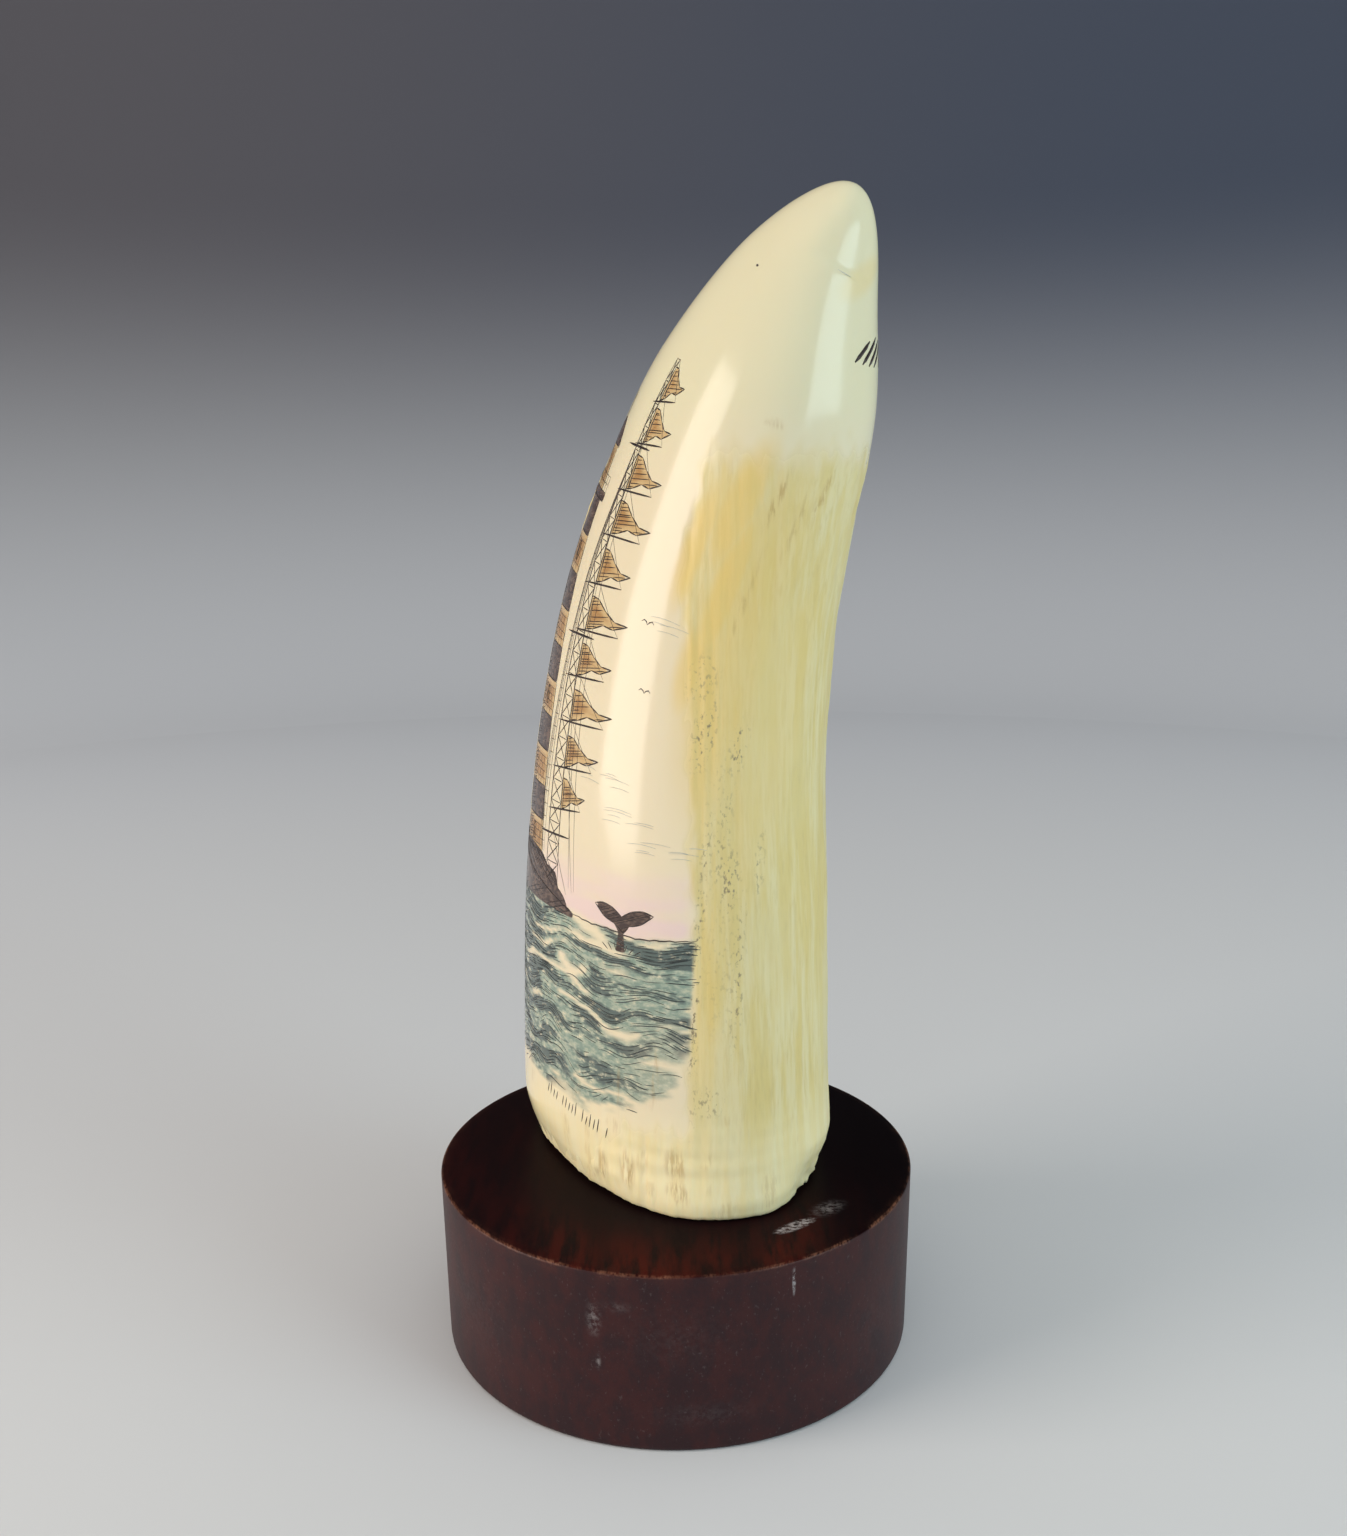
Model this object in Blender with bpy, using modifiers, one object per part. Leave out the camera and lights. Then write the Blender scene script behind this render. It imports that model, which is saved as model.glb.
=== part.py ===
"""Scrimshaw whale tooth standing tip up on a round, turned wooden base.

Units are metres, +Z is up. The origin is at the middle of the base's underside, and +X and -Y are the two sides
that the tooth's tip leans towards.
"""
import bisect
import bpy
import bmesh
import math
from mathutils import Vector

# The tooth, whose length is measured straight up from the top of the base
TOOTH_LENGTH = 0.1468
# The flat gap between the cut root and the base
SEAT_GAP = 0.0003
# Where the middle of the root stands beside and behind the axis of the base
ROOT_SIDESTEP = 0.0005
ROOT_SETBACK = 0.0042

# The base
BASE_HEIGHT = 0.0278
# The narrowest ledge of wood left around the root of the tooth
BASE_LEDGE = 0.0097
# How much narrower the base is at its foot than at its top, on each side
BASE_TAPER = 0.0005
BASE_TOP_ROUND = 0.0005
BASE_FOOT_ROUND = 0.0008
BASE_ROUND_STEPS = 4
BASE_SIDES = 96

# The tooth's form, as shares of its length: height, mean half width and lean of the middle
TOOTH_STATIONS = (
    (0.00, 0.1626, -0.0040),
    (0.03, 0.1692, -0.0068),
    (0.12, 0.1678, -0.0082),
    (0.30, 0.1622, -0.0041),
    (0.45, 0.1521, 0.0054),
    (0.60, 0.1401, 0.0316),
    (0.72, 0.1284, 0.0700),
    (0.82, 0.1193, 0.1111),
    (0.91, 0.1003, 0.1513),
    (1.00, 0.0767, 0.2051),
)
# Length over breadth of the oval section, at the root and at the tip
ROOT_OVAL = 1.41
TIP_OVAL = 1.15
# How full the oval is: 2 is an ellipse, more is squarer
OVAL_FULLNESS = 2.3
# How suddenly the tip closes: a higher value gives a blunter tip
TIP_BLUNTNESS = 9.0
# Directions in plan: where the tip leans, and where the long way of the oval points
LEAN_DIRECTION = math.radians(-32.0)
OVAL_DIRECTION = math.radians(-56.0)

TOOTH_SIDES = 64
TOOTH_BODY_ROWS = 28
TOOTH_TIP_ROWS = 14
# The share of the length where the closer rows of the tip begin
TIP_START = 0.88

IVORY_COLOUR = (0.83, 0.72, 0.47, 1.0)
WOOD_COLOUR = (0.045, 0.014, 0.013, 1.0)


def clear_scene():
    for item in list(bpy.data.objects):
        bpy.data.objects.remove(item, do_unlink=True)


def new_material(name, colour, roughness):
    material = bpy.data.materials.new(name)
    material.use_nodes = True
    shader = material.node_tree.nodes["Principled BSDF"]
    shader.inputs["Base Color"].default_value = colour
    shader.inputs["Roughness"].default_value = roughness
    shader.inputs["Metallic"].default_value = 0.0
    material.diffuse_color = colour
    return material


def smooth_value(heights, values, share):
    """Read a smooth curve through the stations, and its slope, at a share of the length."""
    slopes = []
    for index in range(len(heights)):
        before = max(index - 1, 0)
        after = min(index + 1, len(heights) - 1)
        slopes.append((values[after] - values[before]) / (heights[after] - heights[before]))
    index = min(max(bisect.bisect_right(heights, share) - 1, 0), len(heights) - 2)
    span = heights[index + 1] - heights[index]
    t = (share - heights[index]) / span
    rise = values[index + 1] - values[index]
    start = slopes[index] * span
    end = slopes[index + 1] * span
    square = 3.0 * rise - 2.0 * start - end
    cube = start + end - 2.0 * rise
    value = values[index] + start * t + square * t ** 2 + cube * t ** 3
    slope = (start + 2.0 * square * t + 3.0 * cube * t ** 2) / span
    return value, slope


def oval_share(value):
    """Bring a sine or cosine out towards the fuller outline of the oval."""
    return math.copysign(abs(value) ** (2.0 / OVAL_FULLNESS), value)


class ToothForm:
    """The tooth's outer surface, by the share of its length and the angle around it."""

    def __init__(self, length, root):
        self.length = length
        self.root = Vector(root)
        self.heights = [station[0] for station in TOOTH_STATIONS]
        self.widths = [station[1] * length for station in TOOTH_STATIONS]
        self.leans = [station[2] * length for station in TOOTH_STATIONS]
        self.lean_way = Vector((math.cos(LEAN_DIRECTION), math.sin(LEAN_DIRECTION), 0.0))
        self.oval_way = Vector((math.cos(OVAL_DIRECTION), math.sin(OVAL_DIRECTION), 0.0))

    def half_sizes(self, share):
        """Half the length and half the breadth of the oval."""
        width = smooth_value(self.heights, self.widths, share)[0]
        width *= math.sqrt(max(1.0 - share ** TIP_BLUNTNESS, 0.0))
        oval = ROOT_OVAL + (TIP_OVAL - ROOT_OVAL) * share
        return width * math.sqrt(oval), width / math.sqrt(oval)

    def middle(self, share):
        lean = smooth_value(self.heights, self.leans, share)[0]
        return self.root + self.lean_way * lean + Vector((0.0, 0.0, self.length * share))

    def section_axes(self, share):
        """The two axes of the oval, square to the curved middle line. The cut root is level."""
        slope = smooth_value(self.heights, self.leans, share)[1] if share > 0.0 else 0.0
        along = (self.lean_way * slope + Vector((0.0, 0.0, self.length))).normalized()
        long_axis = (self.oval_way - along * self.oval_way.dot(along)).normalized()
        return long_axis, along.cross(long_axis)

    def section(self, share, sides):
        """The points of one section, in order around it."""
        half_length, half_breadth = self.half_sizes(share)
        long_axis, short_axis = self.section_axes(share)
        middle = self.middle(share)
        points = []
        for side in range(sides):
            angle = 2.0 * math.pi * side / sides
            out = long_axis * half_length * oval_share(math.cos(angle))
            out += short_axis * half_breadth * oval_share(math.sin(angle))
            points.append(middle + out)
        return points


def tooth_shares():
    """Shares of the length where sections are cut: even on the body, ever closer at the tip."""
    shares = [TIP_START * row / TOOTH_BODY_ROWS for row in range(TOOTH_BODY_ROWS)]
    for row in range(TOOTH_TIP_ROWS):
        turn = 0.5 * math.pi * row / TOOTH_TIP_ROWS
        shares.append(TIP_START + (1.0 - TIP_START) * math.sin(turn))
    return shares


def make_tooth(collection):
    """Loft the tooth through its oval sections, and close it at the root and the tip."""
    root = (ROOT_SIDESTEP, ROOT_SETBACK, BASE_HEIGHT + SEAT_GAP)
    form = ToothForm(TOOTH_LENGTH, root)
    mesh = bpy.data.meshes.new("whale_tooth")
    bm = bmesh.new()
    rings = []
    for share in tooth_shares():
        rings.append([bm.verts.new(point) for point in form.section(share, TOOTH_SIDES)])
    for lower, upper in zip(rings, rings[1:]):
        for side in range(TOOTH_SIDES):
            following = (side + 1) % TOOTH_SIDES
            bm.faces.new((lower[side], lower[following], upper[following], upper[side]))
    bm.faces.new(list(reversed(rings[0])))
    tip = bm.verts.new(form.middle(1.0))
    for side in range(TOOTH_SIDES):
        bm.faces.new((rings[-1][side], rings[-1][(side + 1) % TOOTH_SIDES], tip))
    bmesh.ops.recalc_face_normals(bm, faces=bm.faces)
    bm.to_mesh(mesh)
    bm.free()
    mesh.shade_smooth()
    mesh.set_sharp_from_angle(angle=math.radians(40.0))
    tooth = bpy.data.objects.new("whale_tooth", mesh)
    tooth.data.materials.append(new_material("polished_ivory", IVORY_COLOUR, 0.28))
    collection.objects.link(tooth)
    return tooth


def corner_arc(centre_x, centre_z, radius, start):
    """A quarter circle of the turned profile, from an angle down to the right or under."""
    points = []
    for step in range(BASE_ROUND_STEPS + 1):
        angle = start - 0.5 * math.pi * step / BASE_ROUND_STEPS
        points.append((centre_x + radius * math.cos(angle), centre_z + radius * math.sin(angle)))
    return points


def base_profile():
    """Half of the base's section, from the middle of its top out, down and back under."""
    root_half_length = TOOTH_STATIONS[0][1] * TOOTH_LENGTH * math.sqrt(ROOT_OVAL)
    top_radius = root_half_length + BASE_LEDGE
    foot_radius = top_radius - BASE_TAPER
    top_corner = (top_radius - BASE_TOP_ROUND, BASE_HEIGHT - BASE_TOP_ROUND)
    foot_corner = (foot_radius - BASE_FOOT_ROUND, BASE_FOOT_ROUND)
    profile = [(0.0, BASE_HEIGHT)]
    profile += corner_arc(*top_corner, BASE_TOP_ROUND, 0.5 * math.pi)
    profile += corner_arc(*foot_corner, BASE_FOOT_ROUND, 0.0)
    profile.append((0.0, 0.0))
    return profile


def make_base(collection):
    """Turn the base from its profile."""
    mesh = bpy.data.meshes.new("round_base")
    bm = bmesh.new()
    verts = [bm.verts.new((x, 0.0, z)) for x, z in base_profile()]
    for first, second in zip(verts, verts[1:]):
        bm.edges.new((first, second))
    bm.to_mesh(mesh)
    bm.free()
    base = bpy.data.objects.new("round_base", mesh)
    base.data.materials.append(new_material("dark_wood", WOOD_COLOUR, 0.35))
    collection.objects.link(base)
    turn = base.modifiers.new("turn", "SCREW")
    turn.axis = "Z"
    turn.angle = 2.0 * math.pi
    turn.steps = BASE_SIDES
    turn.render_steps = BASE_SIDES
    turn.use_merge_vertices = True
    turn.merge_threshold = 0.00001
    turn.use_smooth_shade = True
    return base


def main():
    clear_scene()
    collection = bpy.data.collections.new("scrimshaw_whale_tooth")
    bpy.context.scene.collection.children.link(collection)
    make_tooth(collection)
    make_base(collection)


main()
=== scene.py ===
"""The looks of a scrimshaw whale tooth that stands tip up on a round wooden base.

Lengths are metres and +Z is up. The tooth's skin is one function of the share of its length and
the angle around it, so that its ridges, its washes of colour and its engraved strokes all lie on
the same form.
"""
import bmesh
import bpy
import math
import numpy as np
from mathutils import Matrix, Quaternion, Vector, kdtree


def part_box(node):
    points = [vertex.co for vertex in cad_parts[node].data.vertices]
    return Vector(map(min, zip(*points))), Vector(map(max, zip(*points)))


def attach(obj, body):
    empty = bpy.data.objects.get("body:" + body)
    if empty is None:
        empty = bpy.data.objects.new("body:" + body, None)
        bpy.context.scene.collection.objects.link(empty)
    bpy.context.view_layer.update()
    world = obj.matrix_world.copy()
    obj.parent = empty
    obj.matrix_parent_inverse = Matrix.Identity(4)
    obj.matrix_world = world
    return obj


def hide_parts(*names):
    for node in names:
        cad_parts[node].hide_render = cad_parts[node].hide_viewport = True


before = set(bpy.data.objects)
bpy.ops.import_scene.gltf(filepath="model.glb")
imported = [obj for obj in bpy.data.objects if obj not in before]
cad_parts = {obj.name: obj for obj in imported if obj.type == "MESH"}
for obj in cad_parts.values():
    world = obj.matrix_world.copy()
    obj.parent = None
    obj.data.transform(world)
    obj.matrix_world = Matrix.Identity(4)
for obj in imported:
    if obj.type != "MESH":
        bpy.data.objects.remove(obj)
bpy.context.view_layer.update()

MM = 0.001
TURN = 2.0 * math.pi
TINY = 1e-12

# The tooth's form, as the part's own source has it
TOOTH_LENGTH = 0.1468
SEAT_GAP = 0.0003
ROOT_SIDESTEP = 0.0005
ROOT_SETBACK = 0.0042
TOOTH_STATIONS = (
    (0.00, 0.1626, -0.0040),
    (0.03, 0.1692, -0.0068),
    (0.12, 0.1678, -0.0082),
    (0.30, 0.1622, -0.0041),
    (0.45, 0.1521, 0.0054),
    (0.60, 0.1401, 0.0316),
    (0.72, 0.1284, 0.0700),
    (0.82, 0.1193, 0.1111),
    (0.91, 0.1003, 0.1513),
    (1.00, 0.0767, 0.2051),
)
ROOT_OVAL = 1.41
TIP_OVAL = 1.15
OVAL_FULLNESS = 2.3
TIP_BLUNTNESS = 9.0
LEAN_DIRECTION = math.radians(-32.0)
OVAL_DIRECTION = math.radians(-56.0)
# Share of the length over which the sections come to lie square to the middle line
SQUARE_SHARE = 0.14

# The base, whose outer sizes come from the frame
BASE_LOW, BASE_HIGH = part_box("round_base")
BASE_TOP = BASE_HIGH[2]
BASE_RADIUS = BASE_HIGH[0]
BASE_TAPER = 0.5 * MM
BASE_TOP_ROUND = 0.5 * MM
BASE_FOOT_ROUND = 0.8 * MM
BASE_ROUND_STEPS = 5
BASE_SIDES = 240
# Rings of its flat top and of its side, as shares of its radius and of its height
TOP_RINGS = (0.0, 0.3, 0.5, 0.6, 0.7, 0.8, 0.9, 0.96)
SIDE_RINGS = (0.92, 0.7, 0.5, 0.3, 0.12)

# The middle of the engraved face, as an angle around the section, and half of the face's width
FACE_ANGLE = math.radians(-90.0)
FACE_HALF_TURN = math.radians(66.0)

# Fineness of the tooth's skin
FACE_COLUMNS = 190
BACK_COLUMNS = 128
BODY_ROWS = 250
TIP_ROWS = 46
TIP_START = 0.88

# Edge of the polished face: share of the length and distance from the middle of the face
POLISH_EDGE = (
    (0.00, 26.2 * MM),
    (0.30, 26.0 * MM),
    (0.46, 22.8 * MM),
    (0.54, 20.4 * MM),
    (0.62, 16.6 * MM),
    (0.70, 12.9 * MM),
    (0.80, 10.8 * MM),
    (1.00, 10.8 * MM),
)
# Height above the floor where the polished tip begins, and above the root where the polish ends
TIP_POLISH_HEIGHT = 138.5 * MM
ROOT_POLISH = 12.5 * MM
# How far that edge wanders, and how soft it is beside the face, at the tip and at the root
EDGE_WANDER = 0.32 * MM
FACE_EDGE = 1.1 * MM
TIP_EDGE = 3.2 * MM
ROOT_EDGE = 2.0 * MM

# Relief of the natural skin: height, size across, size along, seed
NATURAL_RELIEF = (
    (0.045 * MM, 2.2 * MM, 70.0 * MM, 21),
    (0.018 * MM, 1.1 * MM, 22.0 * MM, 22),
    (0.05 * MM, 11.0 * MM, 30.0 * MM, 24),
)
NATURAL_DEPTH = 0.03 * MM
BAND_HEIGHT = 0.010 * MM
LOW_BAND_HEIGHT = 0.022 * MM
# Low on the wall the slanted break on the right, the rounding in on the left and the fill in front:
# depth, its roughness, heights where it fades, its two soft edges around the tooth in degrees
FOOT_CHANGES = (
    (1.7 * MM, 0.16 * MM, 2.0 * MM, 8.0 * MM, (0.0, 18.0), (40.0, 60.0)),
    (0.75 * MM, 0.0, 2.5 * MM, 8.0 * MM, (-185.0, -140.0), (-100.0, -78.0)),
    (-1.2 * MM, 0.0, 0.0, 6.0 * MM, (-78.0, -42.0), (-6.0, 8.0)),
)
FACET_DEPTH = 0.28 * MM
TIP_WEAR = 0.03 * MM
ROOT_ROUND = 0.5 * MM

# The camera, in the photo's own pixels
PHOTO_HEIGHT = 1536.0
FOCAL_PIXELS = 1440.4
SENSOR_HEIGHT = 36.0
CAMERA_DISTANCE = 0.2191
CAMERA_HEIGHT = 0.1363
CAMERA_PITCH = math.radians(11.47)
CAMERA_ROLL = math.radians(-0.63)
CAMERA_YAW = math.radians(-0.08)


def link_object(name, data):
    thing = bpy.data.objects.new(name, data)
    bpy.context.scene.collection.objects.link(thing)
    return thing


def place_camera():
    """Stand where the photo was taken, looking a little down at the tooth."""
    data = bpy.data.cameras.new("camera")
    data.sensor_fit = "VERTICAL"
    data.sensor_height = SENSOR_HEIGHT
    data.lens = FOCAL_PIXELS / PHOTO_HEIGHT * SENSOR_HEIGHT
    data.clip_start = 0.01
    camera = link_object("camera", data)
    turn = Matrix.Rotation(CAMERA_YAW, 3, "Z")
    turn = turn @ Matrix.Rotation(0.5 * math.pi - CAMERA_PITCH, 3, "X")
    turn = turn @ Matrix.Rotation(CAMERA_ROLL, 3, "Z")
    camera.location = (0.0, -CAMERA_DISTANCE, CAMERA_HEIGHT)
    camera.rotation_euler = turn.to_euler()
    bpy.context.scene.camera = camera


def unit(vectors):
    return vectors / np.maximum(np.linalg.norm(vectors, axis=-1, keepdims=True), TINY)


def soft_step(values, low, high):
    t = np.clip((values - low) / (high - low), 0.0, 1.0)
    return t * t * (3.0 - 2.0 * t)


def smooth_curve(column, shares):
    """Read one column of the stations at many shares, with its slope."""
    table = np.array(TOOTH_STATIONS)
    heights = table[:, 0]
    values = table[:, column]
    last = len(heights) - 1
    before = np.maximum(np.arange(last + 1) - 1, 0)
    after = np.minimum(np.arange(last + 1) + 1, last)
    slopes = (values[after] - values[before]) / (heights[after] - heights[before])
    index = np.clip(np.searchsorted(heights, shares, side="right") - 1, 0, last - 1)
    span = heights[index + 1] - heights[index]
    t = (shares - heights[index]) / span
    rise = values[index + 1] - values[index]
    start = slopes[index] * span
    end = slopes[index + 1] * span
    square = 3.0 * rise - 2.0 * start - end
    cube = start + end - 2.0 * rise
    value = values[index] + start * t + square * t ** 2 + cube * t ** 3
    slope = (start + 2.0 * square * t + 3.0 * cube * t ** 2) / span
    return value * TOOTH_LENGTH, slope * TOOTH_LENGTH


def oval_share(values):
    return np.copysign(np.abs(values) ** (2.0 / OVAL_FULLNESS), values)


def plain_surface(share, angle):
    """Points on the tooth's plain form. Share and angle are arrays of one shape."""
    width = smooth_curve(1, share)[0] * np.sqrt(np.clip(1.0 - share ** TIP_BLUNTNESS, 0.0, None))
    lean, slope = smooth_curve(2, share)
    slope = slope * soft_step(share, 0.0, SQUARE_SHARE)
    oval = ROOT_OVAL + (TIP_OVAL - ROOT_OVAL) * share
    lean_way = np.array((math.cos(LEAN_DIRECTION), math.sin(LEAN_DIRECTION), 0.0))
    oval_way = np.array((math.cos(OVAL_DIRECTION), math.sin(OVAL_DIRECTION), 0.0))
    up = np.array((0.0, 0.0, TOOTH_LENGTH))
    along = unit(lean_way * slope[..., None] + up)
    long_axis = unit(oval_way - along * (along @ oval_way)[..., None])
    short_axis = np.cross(along, long_axis)
    root = np.array((ROOT_SIDESTEP, ROOT_SETBACK, BASE_TOP + SEAT_GAP))
    middle = root + lean_way * lean[..., None] + up * share[..., None]
    out_long = width * np.sqrt(oval) * oval_share(np.cos(angle))
    out_short = width / np.sqrt(oval) * oval_share(np.sin(angle))
    return middle + long_axis * out_long[..., None] + short_axis * out_short[..., None]


def surface_normals(share, angle):
    """Outward directions of the plain form, from points close by."""
    step = 0.002
    low = np.clip(share - step, 0.0, 1.0 - step)
    high = np.clip(share + step, step, 1.0)
    upward = plain_surface(high, angle) - plain_surface(low, angle)
    around = plain_surface(share, angle + step) - plain_surface(share, angle - step)
    normals = np.cross(around, upward)
    at_pole = np.linalg.norm(normals, axis=-1) < TINY
    normals[at_pole] = upward[at_pole]
    return unit(normals)


def blend_grid(grid, rows, columns):
    """Read a grid between its points."""
    row = np.clip(np.floor(rows).astype(int), 0, grid.shape[0] - 2)
    column = np.clip(np.floor(columns).astype(int), 0, grid.shape[1] - 2)
    up = np.clip(rows - row, 0.0, 1.0)
    over = np.clip(columns - column, 0.0, 1.0)
    lower = grid[row, column] * (1.0 - over) + grid[row, column + 1] * over
    upper = grid[row + 1, column] * (1.0 - over) + grid[row + 1, column + 1] * over
    return lower * (1.0 - up) + upper * up


class FaceMap:
    """Turns the angle around the tooth into a distance across its engraved face, and back."""

    ROWS = 240
    PARTS = 720
    REACH = 60.0 * MM
    STEP = 0.5 * MM

    def __init__(self):
        self.shares = np.linspace(0.0, 0.995, self.ROWS)
        self.angles = np.linspace(FACE_ANGLE - math.pi, FACE_ANGLE + math.pi, self.PARTS + 1)
        share, angle = np.meshgrid(self.shares, self.angles, indexing="ij")
        points = plain_surface(share, angle)
        steps = np.linalg.norm(np.diff(points, axis=1), axis=2)
        self.arcs = np.concatenate([np.zeros((self.ROWS, 1)), np.cumsum(steps, axis=1)], axis=1)
        self.arcs -= self.arcs[:, self.PARTS // 2][:, None]
        self.across = np.arange(-self.REACH, self.REACH + 0.5 * self.STEP, self.STEP)
        self.back = np.array([np.interp(self.across, arc, self.angles) for arc in self.arcs])

    def across_of(self, share, angle):
        rows = share / self.shares[-1] * (self.ROWS - 1)
        columns = (angle - self.angles[0]) / TURN * self.PARTS
        return blend_grid(self.arcs, rows, columns)

    def angle_of(self, share, across):
        rows = share / self.shares[-1] * (self.ROWS - 1)
        columns = (across + self.REACH) / self.STEP
        return blend_grid(self.back, rows, columns)


def sum_waves(points, seed, waves, next_wave):
    """Smooth random variation with a spread of one, from waves that are drawn one by one."""
    draw = np.random.default_rng(seed)
    total = np.zeros(points.shape[:-1])
    for _ in range(waves):
        wave = np.array(next_wave(draw))
        total += np.cos(points @ wave + draw.uniform(0.0, TURN))
    return total / math.sqrt(0.5 * waves)


def grain(points, across_size, along_size, seed):
    """Random ridges that run along the tooth."""
    def next_wave(draw):
        turn = draw.uniform(0.0, TURN)
        across = draw.normal(1.0, 0.35) * TURN / across_size
        along = draw.normal(0.0, 1.0) * TURN / along_size
        return math.cos(turn) * across, math.sin(turn) * across, along
    return sum_waves(points, seed, 40, next_wave)


def rings(points, size, seed):
    """Random bands around the tooth, as growth lines run."""
    def next_wave(draw):
        rise = draw.normal(1.0, 0.35) * TURN / size
        drift = draw.normal(0.0, 1.0, 2) * TURN / (30.0 * size)
        return drift[0], drift[1], rise
    return sum_waves(points, seed, 24, next_wave)


def polish_amount(share, across, points):
    """How polished the skin is: 1 on the engraved face and the tip, 0 on the natural sides."""
    table = np.array(POLISH_EDGE)
    edge = np.interp(share, table[:, 0], table[:, 1])
    wander = EDGE_WANDER * grain(points, 3.0 * MM, 9.0 * MM, 11)
    face = soft_step(edge - np.abs(across) + wander, -FACE_EDGE, FACE_EDGE)
    above = soft_step(points[..., 2] - TIP_POLISH_HEIGHT + 2.2 * wander, -TIP_EDGE, TIP_EDGE)
    height = share * TOOTH_LENGTH
    root_edge = ROOT_POLISH * (0.15 + 0.85 * soft_step(across, 4.0 * MM, 16.0 * MM))
    root = soft_step(height - root_edge + 3.0 * wander, -ROOT_EDGE, ROOT_EDGE)
    return np.maximum(above, face * root)


def between(angle, rise, fall):
    """1 between two soft edges around the tooth, each given as two angles in degrees."""
    rise = np.radians(rise)
    fall = np.radians(fall)
    return soft_step(angle, rise[0], rise[1]) * (1.0 - soft_step(angle, fall[0], fall[1]))


def tip_facet(share, angle):
    """The slightly sunk flat above the short crease on the tip."""
    above = soft_step(share, 0.9415, 0.9445) * (1.0 - soft_step(share, 0.955, 0.985))
    return above * between(angle, (-58.0, -28.0), (8.0, 24.0))


def skin_relief(share, angle, points, polish):
    """How far the real skin stands out from the plain form."""
    height = share * TOOTH_LENGTH
    low = 1.0 - soft_step(height, 9.0 * MM, 20.0 * MM)
    natural = (BAND_HEIGHT + LOW_BAND_HEIGHT * low) * rings(points, 4.2 * MM, 23) - NATURAL_DEPTH
    for size, across_size, along_size, seed in NATURAL_RELIEF:
        natural = natural + size * grain(points, across_size, along_size, seed)
    relief = (1.0 - polish) * natural
    broken = grain(points, 3.0 * MM, 3.0 * MM, 25)
    for depth, roughness, start, end, rise, fall in FOOT_CHANGES:
        place = between(angle, rise, fall) * (1.0 - soft_step(height, start, end))
        relief -= (depth + roughness * broken) * place
    relief -= FACET_DEPTH * tip_facet(share, angle)
    relief -= TIP_WEAR * soft_step(share, 0.95, 1.0)
    rounding = 1.0 - np.clip(height / ROOT_ROUND, 0.0, 1.0)
    relief -= ROOT_ROUND * (1.0 - np.sqrt(np.clip(1.0 - rounding ** 2, 0.0, 1.0)))
    return relief


def tooth_skin(share, angle, face_map):
    """Points of the finished skin, with their normals, place across the face and polish."""
    points = plain_surface(share, angle)
    normals = surface_normals(share, angle)
    across = face_map.across_of(share, angle)
    polish = polish_amount(share, across, points)
    relief = skin_relief(share, angle, points, polish)
    return points + normals * relief[..., None], normals, across, polish


def column_angles(columns):
    """Angles around the tooth for the columns of its skin, closer together on the engraved face."""
    side = BACK_COLUMNS // 2
    marks = (0, side, side + FACE_COLUMNS, 2 * side + FACE_COLUMNS)
    turns = np.array((-math.pi, -FACE_HALF_TURN, FACE_HALF_TURN, math.pi))
    return np.interp(columns, marks, FACE_ANGLE + turns)


def row_shares(rows):
    """Shares of the length for the rows of the skin, ever closer towards the tip."""
    body = TIP_START * rows / BODY_ROWS
    turn = np.clip((rows - BODY_ROWS) / TIP_ROWS, 0.0, 1.0)
    tip = TIP_START + (1.0 - TIP_START) * np.sin(0.5 * math.pi * turn)
    return np.where(rows < BODY_ROWS, body, tip)


def write_floats(mesh, name, values):
    layer = mesh.attributes.new(name, "FLOAT", "POINT")
    layer.data.foreach_set("value", np.ascontiguousarray(values, dtype=np.float32))


def to_mesh(name, bm):
    """End the building of a mesh, with its faces turned outward."""
    bmesh.ops.recalc_face_normals(bm, faces=bm.faces)
    mesh = bpy.data.meshes.new(name)
    bm.to_mesh(mesh)
    bm.free()
    return mesh


def roll_skin():
    """Roll a sheet of squares round the tooth's form, close its seam, its tip and its cut root."""
    columns = FACE_COLUMNS + BACK_COLUMNS
    rows = BODY_ROWS + TIP_ROWS
    bm = bmesh.new()
    share_layer = bm.verts.layers.float.new("share")
    angle_layer = bm.verts.layers.float.new("angle")
    bmesh.ops.create_grid(bm, x_segments=columns, y_segments=rows, size=0.5)
    sheet = np.array([vert.co[:2] for vert in bm.verts])
    angles = column_angles(np.rint((sheet[:, 0] + 0.5) * columns))
    shares = row_shares(np.rint((sheet[:, 1] + 0.5) * rows))
    points = plain_surface(shares, angles)
    for vert, share, angle, point in zip(bm.verts, shares, angles, points):
        vert[share_layer] = share
        vert[angle_layer] = angle
        vert.co = point
    bmesh.ops.remove_doubles(bm, verts=bm.verts, dist=0.004 * MM)
    rim = [edge for edge in bm.edges if edge.is_boundary]
    bmesh.ops.contextual_create(bm, geom=rim)
    return to_mesh("tooth_skin", bm)


def read_floats(mesh, name):
    values = np.zeros(len(mesh.vertices), dtype=np.float32)
    mesh.attributes[name].data.foreach_get("value", values)
    return values.astype(float)


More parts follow.
